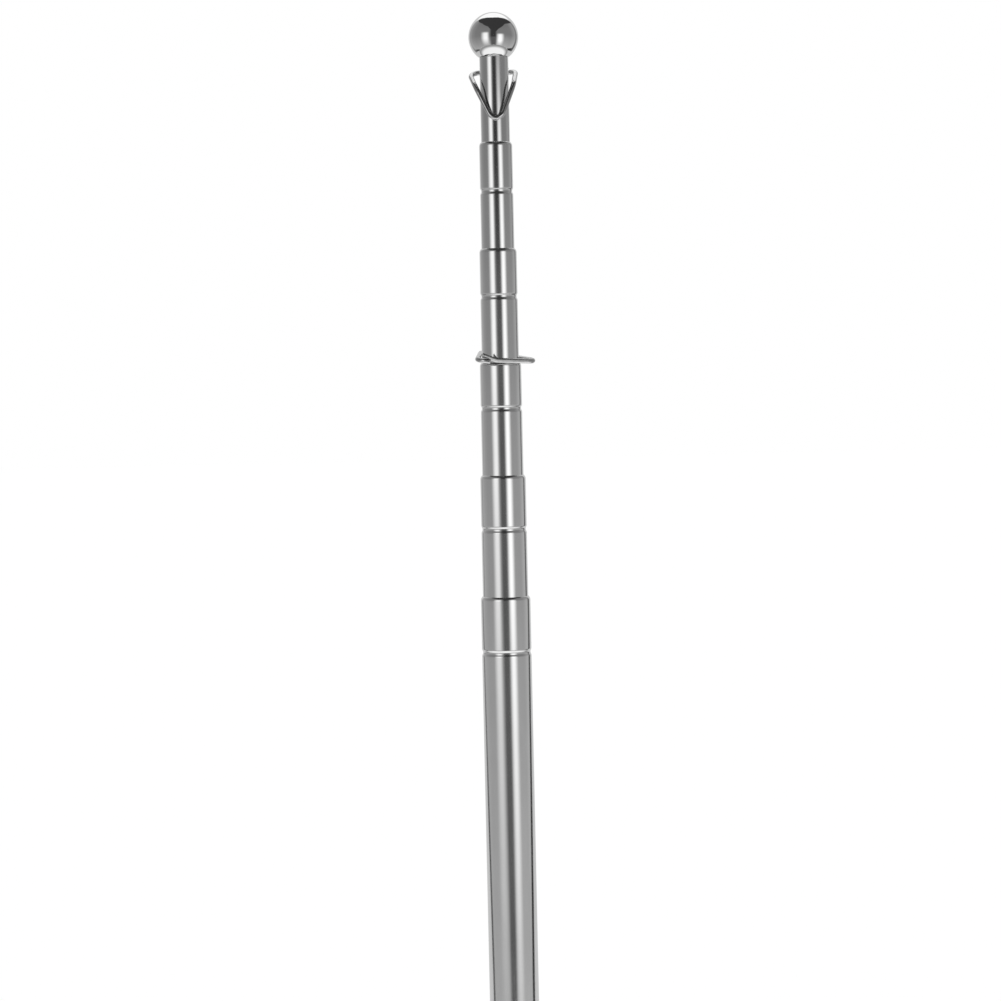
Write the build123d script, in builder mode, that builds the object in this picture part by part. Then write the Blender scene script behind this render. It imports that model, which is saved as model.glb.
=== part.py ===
from build123d import *
import os
from math import radians, sqrt, tan

# Hand-held telescopic flagpole: six stainless tubes, a ball finial and two wire flag clips.
# Millimetres, +Z up the pole, origin at the centre of the flat bottom face of the end plug.

os.makedirs("parts", exist_ok=True)

# Tubes, from the butt up to the tip
butt_diameter = 19.0
diameter_step = 1.6  # each tube is this much smaller than the one that holds it
tube_wall = 0.35
butt_length = 300.0
drawn_out = [46.5, 43.2, 43.4, 40.5, 32.4]  # length of each inner tube that stands out of its holder
pushed_in = [5.0, 5.0, 5.0, 5.0, 25.5]  # the least length that each can be pushed down to
groove_drop = [21.5, 20.7, 17.6, 18.3, 18.7]  # mouth down to the middle of its groove

# How the tubes run in each other
slide_clearance = 0.05
fitted_clearance = 0.02
mouth_height = 1.5
mouth_land = 0.4
groove_half_width = 1.5
foot_lip_height = 1.0
foot_lip_clearance = 0.1
sleeve_length = 12.0
sleeve_slit = 1.5
foot_clearance = 2.0  # feet of the inner tubes above the end plug when all is pushed in

# End plug
plug_flange = 2.5
plug_recess = 0.2  # the flange is this much smaller in radius than the butt tube
plug_spigot = 12.0
plug_edge_radius = 0.6

# Ball finial and the plug that its stud is fixed in
ball_diameter = 19.0
ball_flat_drop = 7.5  # centre of the ball down to the flat that sits on the tip tube
tip_rounding = 0.3
finial_plug_length = 10.0
stud_diameter = 4.0
stud_length = 6.0
stud_hole_spare = 1.0

# Wire clips. The back of a clip bears on the tube, where the long end passes over the short end.
# Its two arms reach round the tube and meet at a rounded apex. The lower clip's arms are straight
# and bear on the tube's sides. The upper clip's bend down at an elbow and bear on its front.
wire_diameter = 1.9
clip_gap = 0.18  # between a clip's wire and the tube it is sprung round
clip_corner_radius = 3.4
clip_apex_radius = 3.0
clip_bend_radius = 6.0
long_end_bend = 5.4  # length of the long end past its bend
long_end_lift = 1.75  # the bend lifts the long end's tip by this much
short_end_drop = 0.5
short_end_spread = 2.6  # the short end leans away from the tube by this much
short_end_length = 4.5
upper_clip_drop = 5.1  # tip tube's top down to the back of the clip
upper_clip_aside = -0.3  # the clip sits this far off the pole's axis along X
upper_clip_side = 3.45  # the clip reaches this far past the tip tube's sides
upper_clip_long_end = 15.0
upper_clip_elbow_side = 1.7  # the elbows lie this far past the tip tube's sides
upper_clip_elbow_setback = 1.93  # and this far behind its front
upper_clip_elbow_drop = 6.3  # the elbows lie this far below the back
upper_clip_elbow_radius = 7.0
upper_clip_apex_stand = 2.87  # the arms' lines meet this far in front of the tip tube
upper_clip_apex_drop = 23.0
upper_clip_roll = -1.8
upper_clip_turn = 2.2
lower_clip_rise = 0.55  # third tube's mouth up to the back of the clip
lower_clip_half_width = 13.05
lower_clip_long_end = 23.9
lower_clip_arm_rise = 7.9  # degrees by which the arms rise towards their apex
lower_clip_roll = -2.2
lower_clip_turn = 203.0

names = ["butt", "second", "third", "fourth", "fifth", "tip"]
radii = [(butt_diameter - i * diameter_step) / 2 for i in range(len(names))]
bores = [radius - tube_wall for radius in radii]
groove_depth = bores[0] - radii[1] - slide_clearance

tops = [plug_flange + butt_length]
for length in drawn_out:
    tops.append(tops[-1] + length)

lowest_foot = plug_flange + plug_spigot + foot_clearance
feet = [plug_flange]
for i in range(1, len(names)):
    feet.append(lowest_foot + sum(drawn_out[:i]) - sum(pushed_in[:i]))


def grooved_line(radius, foot, groove, top):
    """One face of a tube's wall, with its rolled groove."""
    low = (radius, groove - groove_half_width)
    low_middle = (radius - groove_depth / 2, groove - groove_half_width / 2)
    root = (radius - groove_depth, groove)
    high_middle = (radius - groove_depth / 2, groove + groove_half_width / 2)
    high = (radius, groove + groove_half_width)
    Line((radius, foot), low)
    TangentArc(low, low_middle, tangent=(0, 1))
    TangentArc(root, low_middle, tangent=(0, -1))
    TangentArc(root, high_middle, tangent=(0, 1))
    TangentArc(high, high_middle, tangent=(0, -1))
    Line(high, (radius, top))


def tube_face(i, foot):
    """Half section of a tube with a groove and a turned-in mouth."""
    groove = tops[i] - groove_drop[i]
    shoulder = tops[i] - mouth_height
    lip = radii[i + 1] + slide_clearance
    lip_low = tops[i] - mouth_land
    grooved_line(radii[i], foot, groove, shoulder)
    TangentArc((radii[i], shoulder), (lip, tops[i]), tangent=(0, 1))
    Polyline((lip, tops[i]), (lip, lip_low), (bores[i], shoulder - mouth_land))
    grooved_line(bores[i], foot, groove, shoulder - mouth_land)


def foot_ring(i):
    """Lip round the foot of an inner tube, which lifts its sleeve."""
    lip = bores[i - 1] - foot_lip_clearance
    with BuildSketch(Plane.XY.offset(feet[i])) as ring:
        Circle(lip)
        Circle(bores[i], mode=Mode.SUBTRACT)
    extrude(ring.sketch, amount=foot_lip_height)


for i, name in enumerate(names[:-1]):
    with BuildPart() as tube:
        with BuildSketch(Plane.XZ):
            with BuildLine():
                tube_face(i, feet[i])
                Line((bores[i], feet[i]), (radii[i], feet[i]))
            make_face()
        revolve(axis=Axis.Z)
        if i > 0:
            foot_ring(i)
    tube.part.label = f"{name}_tube"
    export_step(tube.part, f"parts/{name}_tube.step")

tip = len(names) - 1
with BuildPart() as tip_tube:
    with BuildSketch(Plane.XZ):
        with BuildLine():
            Polyline((radii[tip], feet[tip]), (radii[tip], tops[tip] - tip_rounding))
            TangentArc(
                (radii[tip], tops[tip] - tip_rounding),
                (radii[tip] - tip_rounding, tops[tip]),
                tangent=(0, 1),
            )
            Polyline(
                (radii[tip] - tip_rounding, tops[tip]),
                (bores[tip], tops[tip]),
                (bores[tip], feet[tip]),
                (radii[tip], feet[tip]),
            )
        make_face()
    revolve(axis=Axis.Z)
    foot_ring(tip)
tip_tube.part.label = "tip_tube"
export_step(tip_tube.part, "parts/tip_tube.step")

for i in range(1, len(names)):
    with BuildPart() as sleeve:
        with BuildSketch(Plane.XY.offset(feet[i] + foot_lip_height)):
            Circle(bores[i - 1] - slide_clearance)
            Circle(radii[i] + fitted_clearance, mode=Mode.SUBTRACT)
            with Locations((0, bores[i])):
                Rectangle(sleeve_slit, butt_diameter / 4, mode=Mode.SUBTRACT)
        extrude(amount=sleeve_length)
    sleeve.part.label = f"{names[i]}_sleeve"
    export_step(sleeve.part, f"parts/{names[i]}_sleeve.step")

with BuildPart() as end_plug:
    with BuildSketch():
        Circle(radii[0] - plug_recess)
    extrude(amount=plug_flange)
    fillet(end_plug.edges().sort_by(Axis.Z)[0], radius=plug_edge_radius)
    with BuildSketch(Plane.XY.offset(plug_flange)):
        Circle(bores[0] - fitted_clearance)
    extrude(amount=plug_spigot)
end_plug.part.label = "end_plug"
export_step(end_plug.part, "parts/end_plug.step")

with BuildPart() as finial_plug:
    with BuildSketch(Plane.XY.offset(tops[tip] - finial_plug_length)):
        Circle(bores[tip] - fitted_clearance)
    extrude(amount=finial_plug_length)
    with BuildSketch(Plane.XY.offset(tops[tip])):
        Circle(stud_diameter / 2)
    extrude(amount=stud_length)
finial_plug.part.label = "finial_plug"
export_step(finial_plug.part, "parts/finial_plug.step")

ball_radius = ball_diameter / 2
ball_flat_radius = sqrt(ball_radius**2 - ball_flat_drop**2)
ball_centre = tops[tip] + ball_flat_drop
with BuildPart() as ball_finial:
    with BuildSketch(Plane.XZ):
        with BuildLine():
            ThreePointArc(
                (ball_flat_radius, tops[tip]),
                (ball_radius, ball_centre),
                (0, ball_centre + ball_radius),
            )
            Polyline((0, ball_centre + ball_radius), (0, tops[tip]), (ball_flat_radius, tops[tip]))
        make_face()
    revolve(axis=Axis.Z)
    with BuildSketch(Plane.XY.offset(tops[tip])):
        Circle(stud_diameter / 2 + fitted_clearance)
    extrude(amount=stud_length + stud_hole_spare, mode=Mode.SUBTRACT)
ball_finial.part.label = "ball_finial"
export_step(ball_finial.part, "parts/ball_finial.step")


def wire_clip(tube_radius, place, roll, turn, half_width, long_end, arms, arm_radii):
    """Clip round a tube. Its crossed ends lie on its own +Y side.

    place is the point on the pole's axis, or beside it, that the back's level passes through.
    The points of the arms give the way sideways, in front of the back and below it.
    """
    back = tube_radius + wire_diameter / 2 + clip_gap
    long_end_tip = long_end - half_width
    with BuildLine(Plane(origin=place).rotated((0, roll, turn), Extrinsic.XYZ)) as path:
        FilletPolyline(
            (half_width - short_end_length, back + short_end_spread, -short_end_drop),
            (half_width, back, 0),
            *[(side, back - reach, -drop) for side, reach, drop in arms],
            (-half_width, back, 0),
            (long_end_tip - long_end_bend, back, 0),
            (long_end_tip, back, long_end_lift),
            radius=[clip_corner_radius, *arm_radii, clip_corner_radius, clip_bend_radius],
        )
    with BuildSketch(Plane(origin=path.line @ 0, z_dir=path.line % 0)) as section:
        Circle(wire_diameter / 2)
    sweep(section.sketch, path=path.line)


upper_clip_back = radii[tip] + wire_diameter / 2 + clip_gap
upper_clip_elbow_width = radii[tip] + upper_clip_elbow_side
upper_clip_elbow_reach = upper_clip_back + radii[tip] - upper_clip_elbow_setback
upper_clip_apex_reach = upper_clip_back + radii[tip] + upper_clip_apex_stand
with BuildPart() as upper_clip:
    wire_clip(
        radii[tip],
        (upper_clip_aside, 0, tops[tip] - upper_clip_drop),
        upper_clip_roll,
        upper_clip_turn,
        radii[tip] + upper_clip_side,
        upper_clip_long_end,
        [
            (upper_clip_elbow_width, upper_clip_elbow_reach, upper_clip_elbow_drop),
            (0, upper_clip_apex_reach, upper_clip_apex_drop),
            (-upper_clip_elbow_width, upper_clip_elbow_reach, upper_clip_elbow_drop),
        ],
        [upper_clip_elbow_radius, clip_apex_radius, upper_clip_elbow_radius],
    )
upper_clip.part.label = "upper_clip"
export_step(upper_clip.part, "parts/upper_clip.step")

third = names.index("third")
fourth = names.index("fourth")
lower_clip_back = radii[fourth] + wire_diameter / 2 + clip_gap
lower_clip_apex_reach = 2 * lower_clip_back / (1 - (lower_clip_back / lower_clip_half_width) ** 2)
lower_clip_apex_rise = lower_clip_apex_reach * tan(radians(lower_clip_arm_rise))
with BuildPart() as lower_clip:
    wire_clip(
        radii[fourth],
        (0, 0, tops[third] + lower_clip_rise),
        lower_clip_roll,
        lower_clip_turn,
        lower_clip_half_width,
        lower_clip_long_end,
        [(0, lower_clip_apex_reach, -lower_clip_apex_rise)],
        [clip_apex_radius],
    )
lower_clip.part.label = "lower_clip"
export_step(lower_clip.part, "parts/lower_clip.step")
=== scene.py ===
"""Looks of a hand-held telescopic flagpole: drawn steel tubes, a chromed ball and two wire flag clips.

Metres, +Z up the pole, origin at the centre of the flat bottom face of the end plug, -Y the front.
"""

from math import cos, pi, radians, sin, tan

import bmesh
import bpy
from mathutils import Euler, Matrix, Vector


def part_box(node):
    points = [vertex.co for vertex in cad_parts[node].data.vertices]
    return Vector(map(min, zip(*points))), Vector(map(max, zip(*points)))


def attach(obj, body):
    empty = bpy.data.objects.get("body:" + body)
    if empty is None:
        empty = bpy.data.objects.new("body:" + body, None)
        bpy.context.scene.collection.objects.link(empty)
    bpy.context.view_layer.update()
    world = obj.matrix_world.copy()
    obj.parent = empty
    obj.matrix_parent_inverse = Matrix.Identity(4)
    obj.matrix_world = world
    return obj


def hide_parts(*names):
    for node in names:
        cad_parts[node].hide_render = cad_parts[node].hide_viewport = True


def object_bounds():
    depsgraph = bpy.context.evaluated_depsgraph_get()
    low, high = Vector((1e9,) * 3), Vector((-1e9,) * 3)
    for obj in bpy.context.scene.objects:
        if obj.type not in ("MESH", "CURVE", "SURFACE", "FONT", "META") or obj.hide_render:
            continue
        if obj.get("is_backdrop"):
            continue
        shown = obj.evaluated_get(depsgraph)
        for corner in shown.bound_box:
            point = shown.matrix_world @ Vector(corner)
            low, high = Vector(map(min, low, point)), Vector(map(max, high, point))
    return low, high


bl_info = {
    "name": "Telescopic flagpole",
    "version": (1, 0, 0),
    "blender": (4, 5, 0),
    "location": "View3D > Sidebar > Flagpole",
    "description": "Steel tubes, ball finial, wire flag clips and their studio",
    "category": "Add Mesh",
}

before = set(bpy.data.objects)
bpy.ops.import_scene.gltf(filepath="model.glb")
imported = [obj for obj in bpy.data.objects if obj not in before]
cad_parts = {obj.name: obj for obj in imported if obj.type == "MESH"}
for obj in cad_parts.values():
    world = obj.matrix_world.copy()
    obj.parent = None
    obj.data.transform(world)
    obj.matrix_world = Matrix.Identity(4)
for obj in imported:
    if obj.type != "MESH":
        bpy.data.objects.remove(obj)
CAD_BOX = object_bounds()

TUBES = ("butt", "second", "third", "fourth", "fifth", "tip")

# Edges that turn by more than this stay sharp
TURNED_CREASE = radians(32)
WIRE_CREASE = radians(38)

# Steps in the arcs of the turned pieces, and in the bends of the wire
GROOVE_STEPS = 8
BORE_GROOVE_STEPS = 3
MOUTH_STEPS = 12
EDGE_STEPS = 8
BALL_STEPS = 72
BEND_STEPS = 20

# Cut ends of the wire: how thin they end and over what length, as shares of the wire's radius,
# and how close the points stand that ease them, as a share of its diameter
CUT_END_RADIUS = 0.66
CUT_END_LENGTH = 0.35
CUT_END_SPACING = 0.09

# The studio, in metres
FLOOR_REACH = 12.0
TENT_FLOOR_LEVEL = 0.0003
TENT_WALL_FOOT = 0.005
TENT_SIDES = 96
LID_STEPS = 24

LAMP_SPREAD = radians(25)


# ---------------------------------------------------------------- node trees


class Term:
    """A number in a node tree, written as in a sum."""

    def __init__(self, tree, socket):
        self.tree, self.socket = tree, socket

    def join(self, operation, *others):
        made = self.tree.nodes.new("ShaderNodeMath")
        made.operation = operation
        for entry, value in zip(made.inputs, (self, *others)):
            feed(self.tree, entry, value)
        return Term(self.tree, made.outputs[0])

    def __add__(self, other):
        return self.join("ADD", other)

    def __sub__(self, other):
        return self.join("SUBTRACT", other)

    def __mul__(self, other):
        return self.join("MULTIPLY", other)

    def __truediv__(self, other):
        return self.join("DIVIDE", other)

    def __rsub__(self, other):
        return self.join("MULTIPLY", -1.0) + other

    __radd__, __rmul__ = __add__, __mul__

    def share(self, low, high, smooth=False):
        """0 at low and 1 at high, and held beyond them."""
        made = self.tree.nodes.new("ShaderNodeMapRange")
        made.interpolation_type = "SMOOTHSTEP" if smooth else "LINEAR"
        feed(self.tree, made.inputs["Value"], self)
        feed(self.tree, made.inputs["From Min"], low)
        feed(self.tree, made.inputs["From Max"], high)
        return Term(self.tree, made.outputs["Result"])

    def between(self, low, high):
        """low where this is 0 and high where it is 1."""
        made = self.tree.nodes.new("ShaderNodeMapRange")
        feed(self.tree, made.inputs["Value"], self)
        feed(self.tree, made.inputs["To Min"], low)
        feed(self.tree, made.inputs["To Max"], high)
        return Term(self.tree, made.outputs["Result"])


def feed(tree, entry, value):
    """Gives a socket a term, another socket or a plain value."""
    if isinstance(value, Term):
        tree.links.new(value.socket, entry)
    elif isinstance(value, bpy.types.NodeSocket):
        tree.links.new(value, entry)
    else:
        entry.default_value = value


def node(tree, kind, settings=None, **entries):
    """A new node. An entry's name is the socket's, with _ for a space."""
    made = tree.nodes.new(kind)
    for key, value in (settings or {}).items():
        setattr(made, key, value)
    for key, value in entries.items():
        feed(tree, made.inputs[key.replace("_", " ")], value)
    return made


class Recipe:
    """A Geometry Nodes tree with named sizes, which ends in Realize Instances and Set Material."""

    def __init__(self, name):
        self.tree = bpy.data.node_groups.new(name, "GeometryNodeTree")
        self.face = self.tree.interface
        self.face.new_socket(name="Geometry", in_out="OUTPUT", socket_type="NodeSocketGeometry")
        self.face.new_socket(name="Geometry", in_out="INPUT", socket_type="NodeSocketGeometry")
        self.entry = self.tree.nodes.new("NodeGroupInput")
        self.material = self.size("Material", "NodeSocketMaterial").socket
        self.facets = self.size("Facets around", "NodeSocketInt")

    def size(self, name, kind="NodeSocketFloat"):
        self.face.new_socket(name=name, in_out="INPUT", socket_type=kind)
        return Term(self.tree, self.entry.outputs[name])

    def end(self, mesh, crease):
        """Smooth faces, with an edge kept sharp where it turns by more than crease."""
        t = self.tree
        smooth = node(t, "GeometryNodeSetShadeSmooth", {"domain": "FACE"}, Geometry=mesh, Shade_Smooth=True)
        turn = node(t, "GeometryNodeInputMeshEdgeAngle")
        sharp = node(t, "FunctionNodeCompare", {"operation": "GREATER_THAN"})
        feed(t, sharp.inputs[0], turn.outputs["Unsigned Angle"])
        feed(t, sharp.inputs[1], crease)
        edges = node(
            t,
            "GeometryNodeSetShadeSmooth",
            {"domain": "EDGE"},
            Geometry=smooth.outputs[0],
            Selection=sharp.outputs["Result"],
            Shade_Smooth=False,
        )
        real = node(t, "GeometryNodeRealizeInstances", Geometry=edges.outputs[0])
        painted = node(t, "GeometryNodeSetMaterial", Geometry=real.outputs[0], Material=self.material)
        leave = self.tree.nodes.new("NodeGroupOutput")
        feed(t, leave.inputs["Geometry"], painted.outputs[0])

    def make(self, name, material, line=(), **sizes):
        """An object whose plain mesh is what the tree gives with these sizes.

        line is for a tree that follows one: its points, each with the radius of its bend.
        """
        mesh = bpy.data.meshes.new(name)
        if line:
            mesh.from_pydata([point for point, _ in line], [(i, i + 1) for i in range(len(line) - 1)], [])
            bends = mesh.attributes.new("bend", "FLOAT", "POINT")
            bends.data.foreach_set("value", [bend for _, bend in line])
        made = bpy.data.objects.new(name, mesh)
        bpy.context.scene.collection.objects.link(made)
        modifier = made.modifiers.new("Recipe", "NODES")
        modifier.node_group = self.tree
        sizes["Material"] = material
        for item in self.face.items_tree:
            if item.in_out == "INPUT" and item.name != "Geometry":
                modifier[item.identifier] = sizes.pop(item.name.replace(" ", "_"))
        if sizes:
            raise RuntimeError(f"{self.tree.name} has no sizes named {sorted(sizes)}")
        ready = made.evaluated_get(bpy.context.evaluated_depsgraph_get())
        final = bpy.data.meshes.new_from_object(ready)
        made.modifiers.clear()
        made.data = final
        final.name = name
        face_outwards(final)
        return made


def face_outwards(mesh):
    """Turns every face of a closed mesh outwards."""
    work = bmesh.new()
    work.from_mesh(mesh)
    if any(len(edge.link_faces) != 2 for edge in work.edges):
        raise RuntimeError(f"{mesh.name} is not closed")
    if work.calc_volume(signed=True) < 0:
        bmesh.ops.reverse_faces(work, faces=work.faces)
        work.to_mesh(mesh)
    work.free()


def turned(recipe, start, legs):
    """Turns a line of legs about Z. A leg is its steps, its changes of radius and level, and its bend.

    The bend is "" for a straight leg, "leaves" for an arc that starts along Z, "joins" for an arc that
    ends along Z, and "ball" for an arc about the axis, whose two changes are then the ball's radius and
    the angle it starts from.
    """
    t = recipe.tree
    total = sum(leg[0] for leg in legs)
    around = recipe.facets + 1.0
    index = Term(t, node(t, "GeometryNodeInputIndex").outputs[0])
    ring = ((index + 0.5) / around).join("FLOOR")
    angle = (index - ring * around) * (2 * pi) / recipe.facets
    radius, level = start
    done = 0
    for steps, out, up, bend in legs:
        along = ring.share(float(done), float(done + steps))
        done += steps
        if bend == "":
            radius, level = along * out + radius, along * up + level
            continue
        if bend == "ball":
            lift = along.between(up, pi / 2)
            radius = (lift.join("COSINE") - up.join("COSINE")) * out + radius
            level = (lift.join("SINE") - up.join("SINE")) * out + level
            continue
        sweep = out.join("ABSOLUTE").join("ARCTAN2", up.join("ABSOLUTE")) * 2.0
        part = along if bend == "leaves" else 1.0 - along
        drift = (1.0 - (part * sweep).join("COSINE")) / (1.0 - sweep.join("COSINE"))
        rise = (part * sweep).join("SINE") / sweep.join("SINE")
        if bend == "joins":
            drift, rise = 1.0 - drift, 1.0 - rise
        radius, level = drift * out + radius, rise * up + level
    x, y = radius * angle.join("COSINE"), radius * angle.join("SINE")
    place = node(t, "ShaderNodeCombineXYZ", X=x, Y=y, Z=level)
    grid = node(t, "GeometryNodeMeshGrid", Size_X=1.0, Size_Y=1.0, Vertices_X=total + 1, Vertices_Y=around)
    moved = node(t, "GeometryNodeSetPosition", Geometry=grid.outputs["Mesh"], Position=place.outputs[0])
    return node(t, "GeometryNodeMergeByDistance", Geometry=moved.outputs[0], Distance=1e-6).outputs[0]


def groove_legs(depth, half, steps, way):
    """A rolled groove in a tube's wall, run up the tube with way 1 and down it with way -1."""
    deep, step = depth * 0.5, half * (0.5 * way)
    return [
        (steps, deep * -1.0, step, "leaves"),
        (steps, deep * -1.0, step, "joins"),
        (steps, deep, step, "leaves"),
        (steps, deep, step, "joins"),
    ]


def tube_recipe():
    """A drawn tube: lip round its foot, rolled groove, and mouth turned in to guide the next tube."""
    recipe = Recipe("drawn_tube")
    radius, wall = recipe.size("Radius"), recipe.size("Wall")
    foot, top = recipe.size("Foot"), recipe.size("Top")
    foot_radius, foot_height = recipe.size("Foot radius"), recipe.size("Foot height")
    groove, half = recipe.size("Groove"), recipe.size("Groove half width")
    depth = recipe.size("Groove depth")
    mouth, mouth_height = recipe.size("Mouth radius"), recipe.size("Mouth height")
    land = recipe.size("Mouth land")
    zero = foot * 0.0
    bore = radius - wall
    shoulder = top - mouth_height
    legs = [
        (1, zero, foot_height, ""),
        (1, radius - foot_radius, zero, ""),
        (1, zero, groove - half - foot - foot_height, ""),
        *groove_legs(depth, half, GROOVE_STEPS, 1.0),
        (1, zero, shoulder - groove - half, ""),
        (MOUTH_STEPS, mouth - radius, mouth_height, "leaves"),
        (1, zero, land * -1.0, ""),
        (1, bore - mouth, mouth_height * -1.0, ""),
        (1, zero, groove + half - shoulder + land, ""),
        *groove_legs(depth, half, BORE_GROOVE_STEPS, -1.0),
        (1, zero, foot - groove + half, ""),
        (1, foot_radius - bore, zero, ""),
    ]
    recipe.end(turned(recipe, (foot_radius, foot), legs), TURNED_CREASE)
    return recipe


def tip_recipe():
    """The plain tip tube: lip round its foot and a rounded top edge under the ball."""
    recipe = Recipe("tip_tube")
    radius, wall = recipe.size("Radius"), recipe.size("Wall")
    foot, top = recipe.size("Foot"), recipe.size("Top")
    foot_radius, foot_height = recipe.size("Foot radius"), recipe.size("Foot height")
    rounding = recipe.size("Rounding")
    zero = foot * 0.0
    legs = [
        (1, zero, foot_height, ""),
        (1, radius - foot_radius, zero, ""),
        (1, zero, top - rounding - foot - foot_height, ""),
        (EDGE_STEPS, rounding * -1.0, rounding, "leaves"),
        (1, rounding - wall, zero, ""),
        (1, zero, foot - top, ""),
        (1, foot_radius - radius + wall, zero, ""),
    ]
    recipe.end(turned(recipe, (foot_radius, foot), legs), TURNED_CREASE)
    return recipe


def ball_recipe():
    """A ball with a flat underneath and a blind hole for its stud."""
    recipe = Recipe("ball_finial")
    radius, flat_drop = recipe.size("Radius"), recipe.size("Flat drop")
    seat = recipe.size("Seat level")
    hole, hole_depth = recipe.size("Hole radius"), recipe.size("Hole depth")
    zero = seat * 0.0
    low = (flat_drop / radius).join("ARCSINE") * -1.0
    flat = low.join("COSINE") * radius
    legs = [
        (1, hole, zero, ""),
        (1, zero, hole_depth * -1.0, ""),
        (1, flat - hole, zero, ""),
        (BALL_STEPS, radius, low, "ball"),
    ]
    recipe.end(turned(recipe, (zero, seat + hole_depth), legs), TURNED_CREASE)
    return recipe


def plug_recipe():
    """The end plug: a flange with a rounded lower edge, and the spigot fixed in the butt tube."""
    recipe = Recipe("end_plug")
    flange, height = recipe.size("Flange radius"), recipe.size("Flange height")
    spigot, spigot_height = recipe.size("Spigot radius"), recipe.size("Spigot height")
    edge = recipe.size("Edge radius")
    zero = height * 0.0
    legs = [
        (1, flange - edge, zero, ""),
        (EDGE_STEPS, edge, edge, "joins"),
        (1, zero, height - edge, ""),
        (1, spigot - flange, zero, ""),
        (1, zero, spigot_height, ""),
        (1, spigot * -1.0, zero, ""),
    ]
    recipe.end(turned(recipe, (zero, zero), legs), TURNED_CREASE)
    return recipe


def wire_recipe():
    """Spring wire bent along a line of points, with its corners rounded and its cut ends eased."""
    recipe = Recipe("wire_clip")
    t = recipe.tree
    wire = recipe.size("Wire radius")
    line = node(t, "GeometryNodeMeshToCurve", Mesh=recipe.entry.outputs["Geometry"])
    bend = node(t, "GeometryNodeInputNamedAttribute", {"data_type": "FLOAT"}, Name="bend")
    bends = node(
        t,
        "GeometryNodeFilletCurve",
        {"mode": "POLY"},
        Curve=line.outputs[0],
        Count=BEND_STEPS,
        Radius=bend.outputs["Attribute"],
    )
    along = Term(t, node(t, "GeometryNodeSplineParameter").outputs["Length"])
    length = Term(t, node(t, "GeometryNodeSplineLength").outputs["Length"])
    near_end = along.join("MINIMUM", length - along)
    eased = near_end.share(0.0, wire * CUT_END_LENGTH, smooth=True).between(CUT_END_RADIUS, 1.0)
    round_bar = node(t, "GeometryNodeCurvePrimitiveCircle", Resolution=recipe.facets, Radius=wire)
    swept = node(
        t,
        "GeometryNodeCurveToMesh",
        Curve=bends.outputs[0],
        Profile_Curve=round_bar.outputs[0],
        Scale=eased,
        Fill_Caps=True,
    )
    recipe.end(swept.outputs[0], WIRE_CREASE)
    return recipe


# ---------------------------------------------------------------- finishes


class Finish:
    """A procedural metal or plastic, on the piece's own Object coordinates."""

    def __init__(self, name, look, metallic):
        self.look = look
        self.material = bpy.data.materials.new(name)
        self.material.use_nodes = True
        self.tree = self.material.node_tree
        self.shader = next(n for n in self.tree.nodes if n.type == "BSDF_PRINCIPLED")
        self.shader.inputs["Metallic"].default_value = metallic
        self.shader.inputs["Base Color"].default_value = (*look.colour, 1.0)
        self.place = node(self.tree, "ShaderNodeTexCoord").outputs["Object"]
        self.normal = None

    def grain(self, scale, detail=2.0, roughness=0.5, distortion=0.0):
        """Noise from 0 to 1. scale is how many cells it has in a metre along X, Y and Z."""
        mapping = node(self.tree, "ShaderNodeMapping", Vector=self.place, Scale=scale)
        noise = node(
            self.tree,
            "ShaderNodeTexNoise",
            Vector=mapping.outputs[0],
            Scale=1.0,
            Detail=detail,
            Roughness=roughness,
            Distortion=distortion,
        )
        return Term(self.tree, noise.outputs[0])

    def tint(self, amount, darkest):
        """The look's colour, down to this share of it where amount is 0."""
        mix = node(self.tree, "ShaderNodeMix", {"data_type": "RGBA"}, Factor=amount)
        feed(self.tree, mix.inputs[6], (*(c * darkest for c in self.look.colour), 1.0))
        feed(self.tree, mix.inputs[7], (*self.look.colour, 1.0))
        self.tree.links.new(mix.outputs[2], self.shader.inputs["Base Color"])

    def rough(self, amount, low, high):
        """The look's roughness, times low where amount is 0 and times high where it is 1."""
        roughness = amount.between(self.look.roughness * low, self.look.roughness * high)
        self.tree.links.new(roughness.socket, self.shader.inputs["Roughness"])

    def relief(self, height, depth):
        """Fine bumps, over any that are there already."""
        bump = node(self.tree, "ShaderNodeBump", Height=height, Distance=depth, Strength=1.0)
        if self.normal:
            feed(self.tree, bump.inputs["Normal"], self.normal)
        self.normal = bump.outputs[0]
        self.tree.links.new(self.normal, self.shader.inputs["Normal"])


def tube_steel(look):
    """Bright drawn stainless: fine lines along it, faint rings from the sleeves, and handling marks."""
    finish = Finish("tube_steel", look, 1.0)
    lines = finish.grain((5200, 5200, 55), detail=3.0)
    rings = finish.grain((45, 45, 3800), detail=3.0)
    handling = finish.grain((70, 70, 24), detail=4.0, roughness=0.6, distortion=0.4)
    marks = lines * 0.45 + rings * 0.2 + handling * 0.35
    finish.rough(marks.share(0.3, 0.72, smooth=True), 0.7, 1.5)
    finish.tint(handling.share(0.25, 0.75, smooth=True), 0.93)
    finish.relief(lines, 1.2e-6)
    finish.relief(rings, 6e-7)
    return finish.material


def ball_steel(look):
    """Bright chrome over turned steel, with fine polishing swirls and a little haze."""
    finish = Finish("ball_steel", look, 1.0)
    swirl = finish.grain((900, 900, 900), detail=4.0, distortion=1.6)
    haze = finish.grain((160, 160, 160), detail=3.0)
    finish.rough((swirl * 0.5 + haze * 0.5).share(0.32, 0.7, smooth=True), 0.6, 1.5)
    finish.tint(haze.share(0.3, 0.7, smooth=True), 0.95)
    finish.relief(swirl, 1.5e-6)
    return finish.material


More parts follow.
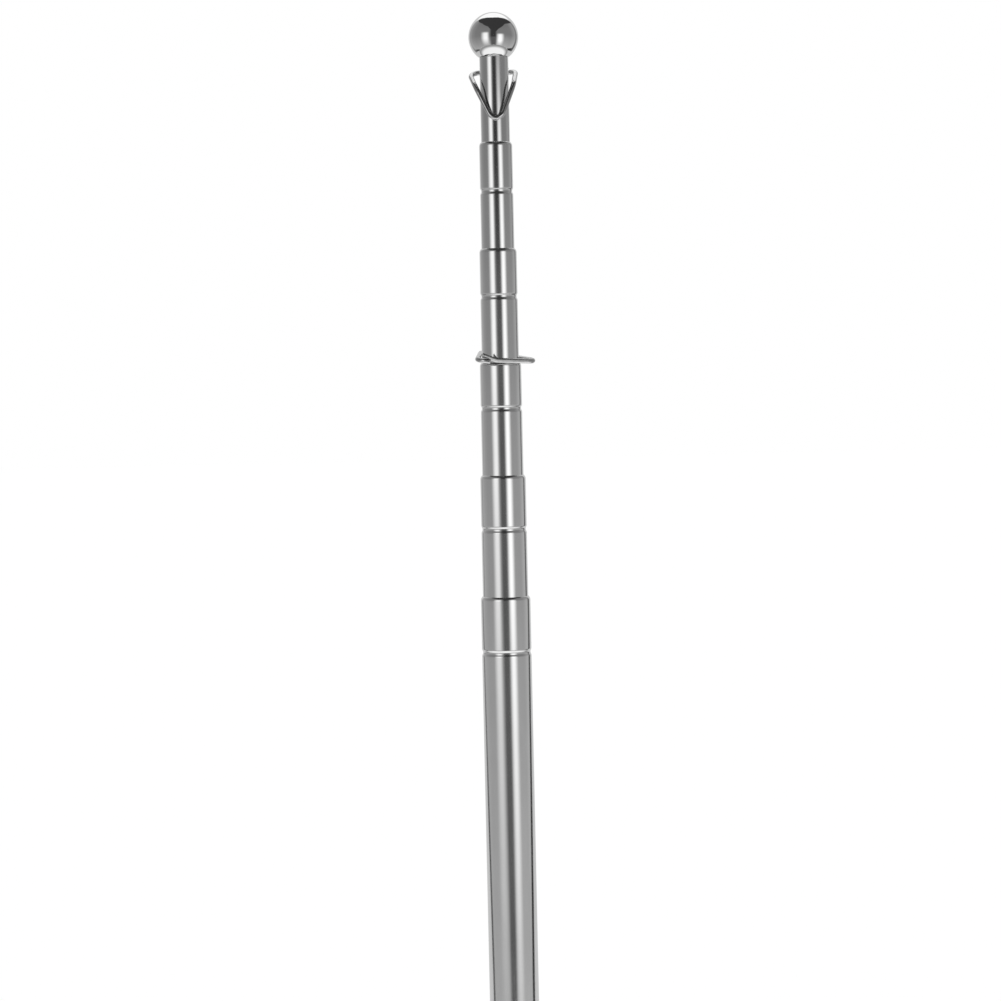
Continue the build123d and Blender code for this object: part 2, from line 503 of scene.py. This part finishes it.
def clip_wire(look):
    """Spring wire: darker, a little satin, with die marks and small pits."""
    finish = Finish("clip_wire", look, 1.0)
    die_marks = finish.grain((3600, 3600, 3600), detail=4.0)
    patches = finish.grain((420, 420, 420), detail=3.0)
    finish.rough((die_marks * 0.4 + patches * 0.6).share(0.3, 0.7, smooth=True), 0.7, 1.4)
    finish.tint(patches.share(0.3, 0.7, smooth=True), 0.82)
    finish.relief(die_marks, 2.5e-6)
    return finish.material


def plug_steel(look):
    """Turned steel plug: rings from the lathe tool on its face, which the floor has scuffed."""
    finish = Finish("plug_steel", look, 1.0)
    t = finish.tree
    split = node(t, "ShaderNodeSeparateXYZ", Vector=finish.place)
    x, y = Term(t, split.outputs["X"]), Term(t, split.outputs["Y"])
    out = (x * x + y * y).join("SQRT")
    feed_of_tool = 0.00022
    tool = ((out * (2 * pi / feed_of_tool)).join("SINE") + 1.0) * 0.5
    scuffs = finish.grain((1300, 1300, 1300), detail=5.0, distortion=0.8)
    finish.rough((tool * 0.3 + scuffs * 0.7).share(0.25, 0.75, smooth=True), 0.7, 1.6)
    finish.tint(scuffs.share(0.3, 0.7, smooth=True), 0.8)
    finish.relief(tool, 2e-6)
    finish.relief(scuffs, 4e-6)
    return finish.material


def sleeve_brass(look):
    """Thin brass strip, rubbed bright and dull in turns."""
    finish = Finish("sleeve_brass", look, 1.0)
    rubbed = finish.grain((500, 500, 120), detail=4.0)
    finish.rough(rubbed.share(0.3, 0.7, smooth=True), 0.7, 1.5)
    finish.tint(rubbed.share(0.3, 0.7, smooth=True), 0.75)
    finish.relief(rubbed, 3e-6)
    return finish.material


def plug_plastic(look):
    """Moulded plastic with a fine matt grain."""
    finish = Finish("plug_plastic", look, 0.0)
    grain = finish.grain((2600, 2600, 2600), detail=3.0)
    finish.rough(grain.share(0.3, 0.7, smooth=True), 0.85, 1.15)
    finish.tint(grain.share(0.3, 0.7, smooth=True), 0.85)
    finish.relief(grain, 8e-6)
    return finish.material


# ---------------------------------------------------------------- settings


def length(name, text, default, least=0.0):
    return bpy.props.FloatProperty(
        name=name, description=text, default=default, unit="LENGTH", min=least, precision=5
    )


def angle(name, text, degrees):
    return bpy.props.FloatProperty(
        name=name, description=text, default=radians(degrees), subtype="ANGLE", unit="ROTATION"
    )


def colour(name, text, default):
    return bpy.props.FloatVectorProperty(
        name=name, description=text, default=default, size=3, subtype="COLOR", min=0.0, max=1.0
    )


def level(name, text, default):
    return bpy.props.FloatProperty(name=name, description=text, default=default, min=0.0, max=2.0)


def facets(text, default):
    return bpy.props.IntProperty(name="Facets", description=text, default=default, min=8, max=256)


class TubeSettings(bpy.types.PropertyGroup):
    butt_radius: length("Butt radius", "Outside radius of the butt tube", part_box("butt_tube")[1].x)
    step: length("Radius step", "How much smaller each tube is than the one that holds it", 0.0008)
    wall: length("Wall", "Wall thickness of every tube", 0.00035)
    clearance: length("Clearance", "Gap between a tube and the mouth that guides it", 0.00005)
    foot_height: length("Foot height", "Height of the lip round the foot of an inner tube", 0.001)
    groove_drops: bpy.props.FloatVectorProperty(
        name="Groove drops",
        description="From each tube's mouth down to the middle of its groove",
        default=(0.0215, 0.0207, 0.0176, 0.0183, 0.0187),
        size=5,
        unit="LENGTH",
    )
    groove_half_width: length("Groove half width", "Half the width of a rolled groove", 0.0015)
    groove_depth: length("Groove depth", "Depth of a rolled groove", 0.0004)
    mouth_height: length("Mouth height", "Height of the turned-in mouth", 0.0015)
    mouth_land: length("Mouth land", "Height of the straight lip inside the mouth", 0.0004)
    rounding: length("Tip rounding", "Radius of the tip tube's top edge", 0.0003)
    facets: facets("Facets round a tube", 128)
    colour: colour("Colour", "Colour of the drawn stainless steel", (0.72, 0.72, 0.72))
    roughness: level("Roughness", "How much the steel scatters", 0.11)


class FinialSettings(bpy.types.PropertyGroup):
    flat_drop: length("Flat drop", "Centre of the ball down to the flat under it", 0.0075)
    hole_radius: length("Hole radius", "Radius of the hole for the stud", 0.00202)
    hole_depth: length("Hole depth", "Depth of the hole for the stud", 0.007)
    facets: facets("Facets round the ball", 144)
    colour: colour("Colour", "Colour of the chrome", (0.72, 0.72, 0.72))
    roughness: level("Roughness", "How much the chrome scatters", 0.05)


class PlugSettings(bpy.types.PropertyGroup):
    flange_height: length("Flange height", "Height of the flange under the butt tube", 0.0025)
    spigot_radius: length("Spigot radius", "Radius of the spigot in the butt tube", 0.00913)
    edge_radius: length("Edge radius", "Radius of the flange's lower edge", 0.0006)
    facets: facets("Facets round the end plug", 128)
    colour: colour("Colour", "Colour of the turned steel", (0.62, 0.62, 0.62))
    roughness: level("Roughness", "How much the turned steel scatters", 0.28)
    plastic_colour: colour("Plastic colour", "Colour of the plug inside the tip tube", (0.03, 0.03, 0.032))
    plastic_roughness: level("Plastic roughness", "How much the plastic scatters", 0.55)
    brass_colour: colour("Brass colour", "Colour of the sleeves inside the tubes", (0.78, 0.57, 0.26))
    brass_roughness: level("Brass roughness", "How much the brass scatters", 0.3)


class ClipSettings(bpy.types.PropertyGroup):
    wire_diameter: length("Wire diameter", "Diameter of the spring wire", 0.0019)
    gap: length("Gap", "Between the wire and the tube it is sprung round", 0.00018)
    corner_radius: length("Corner radius", "Radius of the two bends at the back", 0.0034)
    apex_radius: length("Apex radius", "Radius of the bend between the arms", 0.003)
    bend_radius: length("Bend radius", "Radius of the bend that lifts the long end", 0.006)
    long_end_bend: length("Long end bend", "Length of the long end past its bend", 0.0054)
    long_end_lift: length("Long end lift", "How far its bend lifts the long end's tip", 0.00175)
    short_end_drop: length("Short end drop", "How far the short end drops under the long end", 0.0005)
    short_end_spread: length("Short end spread", "How far the short end leans away from the tube", 0.0026)
    short_end_length: length("Short end length", "Length of the short end", 0.0045)
    upper_aside: length("Upper aside", "How far the upper clip sits to the right", -0.0003, least=-0.01)
    upper_side: length("Upper side", "How far the upper clip reaches past the tip tube's sides", 0.00345)
    upper_long_end: length("Upper long end", "Length of the upper clip's long end", 0.015)
    upper_drop: length("Upper drop", "Tip tube's top down to the back of the upper clip", 0.0051)
    elbow_side: length("Elbow side", "How far the elbows lie past the tip tube's sides", 0.0017)
    elbow_setback: length("Elbow setback", "How far the elbows lie behind the tip tube's front", 0.00193)
    elbow_drop: length("Elbow drop", "How far the elbows lie below the back", 0.0063)
    elbow_radius: length("Elbow radius", "Radius of the elbows", 0.007)
    upper_apex_stand: length("Upper apex stand", "Tip tube's front to where the arms' lines meet", 0.00287)
    upper_apex_drop: length("Upper apex drop", "How far the arms' lines meet below the back", 0.023)
    upper_roll: angle("Upper roll", "How far the upper clip leans to the side", -1.8)
    upper_turn: angle("Upper turn", "How far the upper clip is turned round the pole", 2.2)
    lower_half_width: length("Lower half width", "Half the width of the lower clip", 0.01305)
    lower_long_end: length("Lower long end", "Length of the lower clip's long end", 0.0239)
    lower_rise: length("Lower rise", "Third tube's mouth up to the back of the lower clip", 0.00055)
    lower_arm_rise: angle("Lower arm rise", "How steeply the lower clip's arms rise to their apex", 7.9)
    lower_roll: angle("Lower roll", "How far the lower clip leans to the side", -2.2)
    lower_turn: angle("Lower turn", "How far the lower clip is turned round the pole", 203)
    facets: facets("Facets round the wire", 32)
    colour: colour("Colour", "Colour of the spring wire", (0.56, 0.56, 0.56))
    roughness: level("Roughness", "How much the wire scatters", 0.15)


class StudioSettings(bpy.types.PropertyGroup):
    floor_share: level("Floor share", "Share of the floor's white that takes the shadow", 0.35)
    world_strength: level("World strength", "Light from all round on matt surfaces", 0.71)
    lamp_strength: level("Lamp strength", "Strength of the left lamp", 0.65)
    right_lamp: level("Right lamp", "Strength of the right lamp, as a share of the left one's", 0.7)
    tent_radius: length("Tent radius", "Pole to the wall of the light tent", 0.6)
    tent_height: length("Tent height", "Floor to the lid of the light tent", 2.2)
    lid_back: length("Lid back", "How far the lid reaches behind the pole", 0.19)
    lid_curve: level("Lid curve", "How fast the lid's back edge curves away to the sides", 0.89)
    lid_light: level("Lid light", "Light of the lid and of what is dark under it", 0.05)
    card_light: level("Card light", "Light of the bright card behind the lid", 1.4)
    camera_distance: length("Camera distance", "Pole to the camera", 1.15)
    camera_height: length("Camera height", "Floor to the camera", 0.389)
    camera_lens: bpy.props.FloatProperty(
        name="Lens", description="Focal length in mm on a 36 mm sensor", default=107.9, min=10.0
    )
    camera_side: length("Camera side", "How far the camera stands to the left of the pole", 0.00115)
    camera_pitch: angle("Pitch", "How far the camera looks down", 2.477)
    camera_roll: angle("Roll", "How far the pole leans to the left in the picture", 1.265)


# ---------------------------------------------------------------- pieces


def settings(context, name):
    return getattr(context.scene, "flagpole_" + name)


class FLAGPOLE_OT_tubes(bpy.types.Operator):
    """Make the six tubes, from the butt to the tip"""

    bl_idname = "flagpole.tubes"
    bl_label = "Tubes"

    def execute(self, context):
        sizes = settings(context, "tubes")
        steel = tube_steel(sizes)
        recipe, tip = tube_recipe(), tip_recipe()
        for i, name in enumerate(TUBES):
            low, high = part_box(name + "_tube")
            radius = sizes.butt_radius - i * sizes.step
            common = {
                "Facets_around": sizes.facets,
                "Radius": radius,
                "Wall": sizes.wall,
                "Foot": low.z,
                "Top": high.z,
                "Foot_radius": high.x,
                "Foot_height": sizes.foot_height if i else 0.0,
            }
            if name == "tip":
                tube = tip.make("tip_tube_drawn", steel, Rounding=sizes.rounding, **common)
            else:
                tube = recipe.make(
                    name + "_tube_drawn",
                    steel,
                    Groove=high.z - sizes.groove_drops[i],
                    Groove_half_width=sizes.groove_half_width,
                    Groove_depth=sizes.groove_depth,
                    Mouth_radius=radius - sizes.step + sizes.clearance,
                    Mouth_height=sizes.mouth_height,
                    Mouth_land=sizes.mouth_land,
                    **common,
                )
            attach(tube, name + "_section")
            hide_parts(name + "_tube")
        return {"FINISHED"}


class FLAGPOLE_OT_finial(bpy.types.Operator):
    """Make the ball on the tip"""

    bl_idname = "flagpole.finial"
    bl_label = "Ball finial"

    def execute(self, context):
        sizes = settings(context, "finial")
        low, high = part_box("ball_finial")
        ball = ball_recipe().make(
            "ball_finial_turned",
            ball_steel(sizes),
            Facets_around=sizes.facets,
            Radius=high.z - low.z - sizes.flat_drop,
            Flat_drop=sizes.flat_drop,
            Seat_level=low.z,
            Hole_radius=sizes.hole_radius,
            Hole_depth=sizes.hole_depth,
        )
        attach(ball, "tip_section")
        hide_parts("ball_finial")
        return {"FINISHED"}


class FLAGPOLE_OT_plugs(bpy.types.Operator):
    """Make the end plug, and finish the plug and the sleeves inside the tubes"""

    bl_idname = "flagpole.plugs"
    bl_label = "Plugs and sleeves"

    def execute(self, context):
        sizes = settings(context, "plugs")
        low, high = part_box("end_plug")
        plug = plug_recipe().make(
            "end_plug_turned",
            plug_steel(sizes),
            Facets_around=sizes.facets,
            Flange_radius=high.x,
            Flange_height=sizes.flange_height,
            Spigot_radius=sizes.spigot_radius,
            Spigot_height=high.z - low.z - sizes.flange_height,
            Edge_radius=sizes.edge_radius,
        )
        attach(plug, "butt_section")
        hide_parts("end_plug")
        plastic = plug_plastic(Shade(sizes.plastic_colour, sizes.plastic_roughness))
        brass = sleeve_brass(Shade(sizes.brass_colour, sizes.brass_roughness))
        repaint(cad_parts["finial_plug"], plastic)
        for name in TUBES[1:]:
            repaint(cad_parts[name + "_sleeve"], brass)
        return {"FINISHED"}


class Shade:
    """A colour and a roughness for a finish."""

    def __init__(self, colour, roughness):
        self.colour, self.roughness = colour, roughness


def repaint(cad, material):
    for entry in cad.material_slots:
        entry.material = material


def clip_line(sizes, back, half_width, long_end, arms):
    """The points that a clip's wire is bent along, each with its bend, from its short end to its long end.

    back is how far behind the pole's axis the back of the clip lies. Each point of the arms gives the way
    sideways, in front of the back and below it, and its bend.
    """
    corner = sizes.corner_radius
    long_tip = long_end - half_width
    short_tip = (half_width - sizes.short_end_length, back + sizes.short_end_spread, -sizes.short_end_drop)
    line = [
        (Vector(short_tip), corner),
        (Vector((half_width, back, 0)), corner),
        *((Vector((side, back - reach, -drop)), bend) for side, reach, drop, bend in arms),
        (Vector((-half_width, back, 0)), corner),
        (Vector((long_tip - sizes.long_end_bend, back, 0)), sizes.bend_radius),
        (Vector((long_tip, back, sizes.long_end_lift)), corner),
    ]
    ease = sizes.wire_diameter * CUT_END_SPACING
    for end, neighbour in ((0, 1), (-1, -2)):
        towards = (line[neighbour][0] - line[end][0]).normalized()
        eased = [(line[end][0] + towards * ease, corner), (line[end][0] + towards * ease * 2, corner)]
        if end == 0:
            line[1:1] = eased
        else:
            line[-1:-1] = reversed(eased)
    return line


class FLAGPOLE_OT_clips(bpy.types.Operator):
    """Bend the two wire flag clips"""

    bl_idname = "flagpole.clips"
    bl_label = "Flag clips"

    def execute(self, context):
        sizes, tubes = settings(context, "clips"), settings(context, "tubes")
        steel = clip_wire(sizes)
        recipe = wire_recipe()
        clear = sizes.wire_diameter / 2 + sizes.gap
        tip_radius = tubes.butt_radius - TUBES.index("tip") * tubes.step
        upper_back = tip_radius + clear
        lower_back = tubes.butt_radius - TUBES.index("fourth") * tubes.step + clear
        lower_reach = 2 * lower_back / (1 - (lower_back / sizes.lower_half_width) ** 2)
        elbow_side = tip_radius + sizes.elbow_side
        elbow = (upper_back + tip_radius - sizes.elbow_setback, sizes.elbow_drop, sizes.elbow_radius)
        apex = (upper_back + tip_radius + sizes.upper_apex_stand, sizes.upper_apex_drop, sizes.apex_radius)
        upper_line = clip_line(
            sizes,
            upper_back,
            tip_radius + sizes.upper_side,
            sizes.upper_long_end,
            [(elbow_side, *elbow), (0, *apex), (-elbow_side, *elbow)],
        )
        lower_line = clip_line(
            sizes,
            lower_back,
            sizes.lower_half_width,
            sizes.lower_long_end,
            [(0, lower_reach, -lower_reach * tan(sizes.lower_arm_rise), sizes.apex_radius)],
        )
        upper_place = (sizes.upper_aside, 0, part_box("tip_tube")[1].z - sizes.upper_drop)
        lower_place = (0, 0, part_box("third_tube")[1].z + sizes.lower_rise)
        for name, line, spot, roll, turn in (
            ("upper_clip", upper_line, upper_place, sizes.upper_roll, sizes.upper_turn),
            ("lower_clip", lower_line, lower_place, sizes.lower_roll, sizes.lower_turn),
        ):
            place = Matrix.Translation(spot) @ Euler((0, roll, turn), "XYZ").to_matrix().to_4x4()
            clip = recipe.make(
                name + "_wire",
                steel,
                line=[(place @ point, bend) for point, bend in line],
                Facets_around=sizes.facets,
                Wire_radius=sizes.wire_diameter / 2,
            )
            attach(clip, name + "_body")
            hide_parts(name)
        return {"FINISHED"}


# ---------------------------------------------------------------- studio


def seen_plainly(tree):
    """1 for what the camera, a mirror or glass sees, and 0 for light that falls on matt surfaces."""
    path = node(tree, "ShaderNodeLightPath").outputs
    rays = [Term(tree, path[f"Is {ray} Ray"]) for ray in ("Camera", "Glossy", "Transmission")]
    return (rays[0] + rays[1] + rays[2]).join("MINIMUM", 1.0)


def white_world(scene, strength):
    """White behind everything, and an even light of this strength on matt surfaces."""
    world = bpy.data.worlds.new("studio_white")
    scene.world = world
    world.use_nodes = True
    t = world.node_tree
    background = next(n for n in t.nodes if n.type == "BACKGROUND")
    background.inputs["Color"].default_value = (1, 1, 1, 1)
    feed(t, background.inputs["Strength"], seen_plainly(t).between(strength, 1.0))


def blank_material(name):
    """A material with no nodes, and its tree."""
    material = bpy.data.materials.new(name)
    material.use_nodes = True
    material.node_tree.nodes.clear()
    return material, material.node_tree


def glow_material(name):
    """A material that only glows, its tree, and the socket for how strongly."""
    material, t = blank_material(name)
    glow = node(t, "ShaderNodeEmission", Color=(1, 1, 1, 1))
    end = t.nodes.new("ShaderNodeOutputMaterial")
    feed(t, end.inputs["Surface"], glow.outputs[0])
    material.cycles.emission_sampling = "NONE"
    return material, t, glow.inputs["Strength"]


def floor_material(share):
    """Pale floor. Its matt share is lit and takes the shadow, and the rest of its white shows plainly."""
    material, t = blank_material("studio_floor")
    matt = node(t, "ShaderNodeBsdfDiffuse", Color=(share, share, share, 1))
    plain = node(t, "ShaderNodeEmission", Color=(1, 1, 1, 1), Strength=seen_plainly(t) * (1 - share))
    both = t.nodes.new("ShaderNodeAddShader")
    feed(t, both.inputs[0], matt.outputs[0])
    feed(t, both.inputs[1], plain.outputs[0])
    below = Term(t, node(t, "ShaderNodeNewGeometry").outputs["Backfacing"])
    camera_ray = Term(t, node(t, "ShaderNodeLightPath").outputs["Is Camera Ray"])
    clear = t.nodes.new("ShaderNodeBsdfTransparent")
    pick = t.nodes.new("ShaderNodeMixShader")
    feed(t, pick.inputs[0], below * camera_ray)
    feed(t, pick.inputs[1], both.outputs[0])
    feed(t, pick.inputs[2], clear.outputs[0])
    end = t.nodes.new("ShaderNodeOutputMaterial")
    feed(t, end.inputs["Surface"], pick.outputs[0])
    return material


class Tent:
    """The light of the tent's wall and floor, by place, as metal reflects it.

    height is above the floor and reach from the pole. off is the bearing from the front, in degrees.
    From the front round to the back come the dark gap that the lens looks through, a soft lamp, a grey
    wall, a dark gap that leans outwards up the wall, and the pale backdrop. The wall ends below a lid.
    """

    def __init__(self, tree, lid_light):
        place = node(tree, "ShaderNodeTexCoord").outputs["Object"]
        split = node(tree, "ShaderNodeSeparateXYZ", Vector=place)
        x, y, self.height = (Term(tree, split.outputs[axis]) for axis in "XYZ")
        self.off = x.join("ARCTAN2", y * -1.0).join("ABSOLUTE") * (180 / pi)
        self.reach = (x * x + y * y).join("SQRT")
        self.right = x.share(-0.01, 0.01)
        self.dark = lid_light

    def side(self, left, right):
        """One value on the tent's left and another on its right."""
        return self.right.between(left, right)

    def grey_wall(self):
        """Darker upwards, and a little paler towards the back and on the right."""
        wall = self.height.share(0.0, 0.56).between(0.51, 0.26)
        wall = wall + self.off.share(85.0, 112.0, True) * self.side(0.05, 0.1)
        wall = wall + self.off.share(112.0, 130.0) * 0.12
        wall = wall * self.height.share(0.7, 1.4, True).between(1.0, 0.8)
        return wall + self.right * self.height.share(0.6, 0.4) * 0.04

    def lens_gap(self, wall):
        """The wall with the dark gap at the front, darker towards its top."""
        gap = self.height.share(0.44, 0.52).between(0.13, self.dark)
        return self.off.share(7.0, 21.0, True).between(gap, wall)

    def lamps(self):
        """A soft lamp on each side of the lens, faded at all four edges."""
        inner = self.off.share(self.side(16.0, 11.0), self.side(32.0, 30.0), True)
        outer = self.off.share(self.side(64.0, 56.0), self.side(38.0, 33.0), True)
        upper = self.height.share(self.side(0.76, 0.66), self.side(0.62, 0.55), True)
        lower = self.height.share(self.side(0.0, -0.05), self.side(0.42, 0.3))
        left_light = self.height.share(0.05, 0.3).between(0.92, 1.05)
        return inner * outer * upper * lower * self.side(left_light, 1.12)

    def back_gap(self, lean):
        """Share of the light that is left in and beside the leaning gap. lean is degrees behind it."""
        gap = lean.join("ABSOLUTE").share(self.side(9.0, 12.0), self.side(4.0, 6.0), True)
        left = self.height.share(0.15, 0.4).between(0.22, 0.95)
        right = self.height.share(0.15, 0.55).between(0.06, 0.6)
        return gap.between(1.0, self.side(left, right))

    def top_edge(self):
        """Height that the wall ends at: low at the front, highest at the sides, lower again behind."""
        edge = self.off.share(12.0, 30.0).between(self.side(0.85, 0.72), self.side(1.08, 0.9))
        edge = edge + self.off.share(30.0, 75.0) * self.side(0.18, 0.25)
        return edge - self.off.share(85.0, 140.0) * self.side(0.2, 0.28)

    def card_light(self, edge):
        """Light of the bright card where it comes down over the wall behind the lid."""
        foot = self.off.share(132.0, 136.0).between(2.2, 1.62) - (self.off - 134.0) * 0.038
        return (self.height - edge - 0.3).share(0.0, 0.03) * (self.height - foot).share(0.0, 0.04) * 0.95

    def light(self):
        """All of it together. The backdrop begins behind the leaning gap, and sooner higher up."""
        lean = self.off - self.height.share(0.03, 0.25).between(105.0, self.side(135.0, 132.0))
        wall = (self.lens_gap(self.grey_wall()) + self.lamps()) * self.back_gap(lean)
        edge = self.top_edge()
        wall = (self.height - edge).share(-0.02, 0.02).between(wall, self.dark) + self.card_light(edge)
        backdrop = self.height.share(0.9, 1.1, True).between(0.72, 1.35)
        behind = (lean + self.height.share(0.6, 1.6) * 14.0).share(6.0, 11.0)
        ground = self.reach.share(0.52, 0.32, True).between(0.4, 1.25)
        return self.height.share(0.002, 0.004).between(ground, behind.between(wall, backdrop))


def stage_piece(name, vertices, faces, material, only_reflected):
    """A floor, wall or lid. only_reflected hides it from all but mirror-like surfaces."""
    mesh = bpy.data.meshes.new(name)
    mesh.from_pydata(vertices, [], faces)
    mesh.materials.append(material)
    made = bpy.data.objects.new(name, mesh)
    bpy.context.scene.collection.objects.link(made)
    if only_reflected:
        made.visible_camera = made.visible_diffuse = made.visible_shadow = False
        made.visible_transmission = made.visible_volume_scatter = False
    made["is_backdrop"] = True


def soft_lamp(name, bearing, elevation, strength):
    """A soft sun for the floor and its shadow, which metal doesn't mirror."""
    lamp = bpy.data.lights.new(name, "SUN")
    lamp.energy, lamp.angle = strength, LAMP_SPREAD
    made = bpy.data.objects.new(name, lamp)
    bpy.context.scene.collection.objects.link(made)
    made.rotation_euler = (pi / 2 - elevation, 0, bearing)
    made.visible_glossy = False


class FLAGPOLE_OT_studio(bpy.types.Operator):
    """Set out the floor, the light tent, the lamps and the camera"""

    bl_idname = "flagpole.studio"
    bl_label = "Studio"

    def execute(self, context):
        sizes = settings(context, "studio")
        scene = context.scene
        scene.view_settings.view_transform = "Standard"
        white_world(scene, sizes.world_strength)
        corners = [(x * FLOOR_REACH, y * FLOOR_REACH, 0) for x, y in ((-1, -1), (1, -1), (1, 1), (-1, 1))]
        stage_piece("floor", corners, [(0, 1, 2, 3)], floor_material(sizes.floor_share), False)
        radius, top, back = sizes.tent_radius, sizes.tent_height, sizes.lid_back
        turns = [2 * pi * i / TENT_SIDES for i in range(TENT_SIDES)]
        ring = [(radius * sin(turn), -radius * cos(turn)) for turn in turns]
        wall = [(x, y, z) for z in (TENT_WALL_FOOT, top) for x, y in ring]
        following = [*range(1, TENT_SIDES), 0]
        panels = [(i, j, TENT_SIDES + j, TENT_SIDES + i) for i, j in enumerate(following)]
        tent, tree, strength = glow_material("light_tent")
        feed(tree, strength, Tent(tree, sizes.lid_light).light())
        stage_piece("tent_wall", wall, panels, tent, True)
        ground = [(x, y, TENT_FLOOR_LEVEL) for x, y in ring]
        stage_piece("tent_floor", ground, [tuple(range(TENT_SIDES))], tent, True)
        steps = [radius * (2 * i / LID_STEPS - 1) for i in range(LID_STEPS + 1)]
        edge = [(x, back + sizes.lid_curve * x * x, top) for x in steps]
        for name, far, light in (
            ("dark_lid", -radius, sizes.lid_light),
            ("bright_card", radius, sizes.card_light),
        ):
            rim = [(steps[-1], far, top), (steps[0], far, top)]
            card, tree, strength = glow_material(name)
            feed(tree, strength, light)
            stage_piece(name, edge + rim, [tuple(range(len(edge) + len(rim)))], card, True)
        light = sizes.lamp_strength
        soft_lamp("lamp_left", bearing=radians(-50), elevation=radians(60), strength=light)
        light = sizes.lamp_strength * sizes.right_lamp
        soft_lamp("lamp_right", bearing=radians(35), elevation=radians(55), strength=light)

        lens = bpy.data.cameras.new("camera")
        lens.lens = sizes.camera_lens
        camera = bpy.data.objects.new("camera", lens)
        scene.collection.objects.link(camera)
        pitch, roll = sizes.camera_pitch, sizes.camera_roll
        level_right, level_up = Vector((1, 0, 0)), Vector((0, sin(pitch), cos(pitch)))
        right = level_right * cos(roll) - level_up * sin(roll)
        up = level_up * cos(roll) + level_right * sin(roll)
        turn = Matrix((right, up, right.cross(up))).transposed()
        stand = (-sizes.camera_side, -sizes.camera_distance, sizes.camera_height)
        camera.matrix_world = Matrix.Translation(stand) @ turn.to_4x4()
        scene.camera = camera
        return {"FINISHED"}


class FLAGPOLE_PT_panel(bpy.types.Panel):
    """Every piece of the flagpole and its sizes"""

    bl_label = "Flagpole"
    bl_idname = "FLAGPOLE_PT_panel"
    bl_space_type = "VIEW_3D"
    bl_region_type = "UI"
    bl_category = "Flagpole"

    def draw(self, context):
        for operator, group in (
            (FLAGPOLE_OT_tubes, "tubes"),
            (FLAGPOLE_OT_finial, "finial"),
            (FLAGPOLE_OT_plugs, "plugs"),
            (FLAGPOLE_OT_clips, "clips"),
            (FLAGPOLE_OT_studio, "studio"),
        ):
            box = self.layout.box()
            box.operator(operator.bl_idname)
            values = settings(context, group)
            for name in values.bl_rna.properties.keys():
                if name not in ("rna_type", "name"):
                    box.prop(values, name)


GROUPS = {
    "tubes": TubeSettings,
    "finial": FinialSettings,
    "plugs": PlugSettings,
    "clips": ClipSettings,
    "studio": StudioSettings,
}
CLASSES = (
    *GROUPS.values(),
    FLAGPOLE_OT_tubes,
    FLAGPOLE_OT_finial,
    FLAGPOLE_OT_plugs,
    FLAGPOLE_OT_clips,
    FLAGPOLE_OT_studio,
    FLAGPOLE_PT_panel,
)


def register():
    for made in CLASSES:
        bpy.utils.register_class(made)
    for name, group in GROUPS.items():
        setattr(bpy.types.Scene, "flagpole_" + name, bpy.props.PointerProperty(type=group))


def unregister():
    for name in GROUPS:
        delattr(bpy.types.Scene, "flagpole_" + name)
    for made in reversed(CLASSES):
        bpy.utils.unregister_class(made)


def main():
    register()
    bpy.ops.flagpole.tubes()
    bpy.ops.flagpole.finial()
    bpy.ops.flagpole.plugs()
    bpy.ops.flagpole.clips()
    bpy.ops.flagpole.studio()
    boxes = {"cad": CAD_BOX, "visual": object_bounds()}
    {name: [list(corner) for corner in box] for name, box in boxes.items()}


if __name__ == "__main__":
    main()
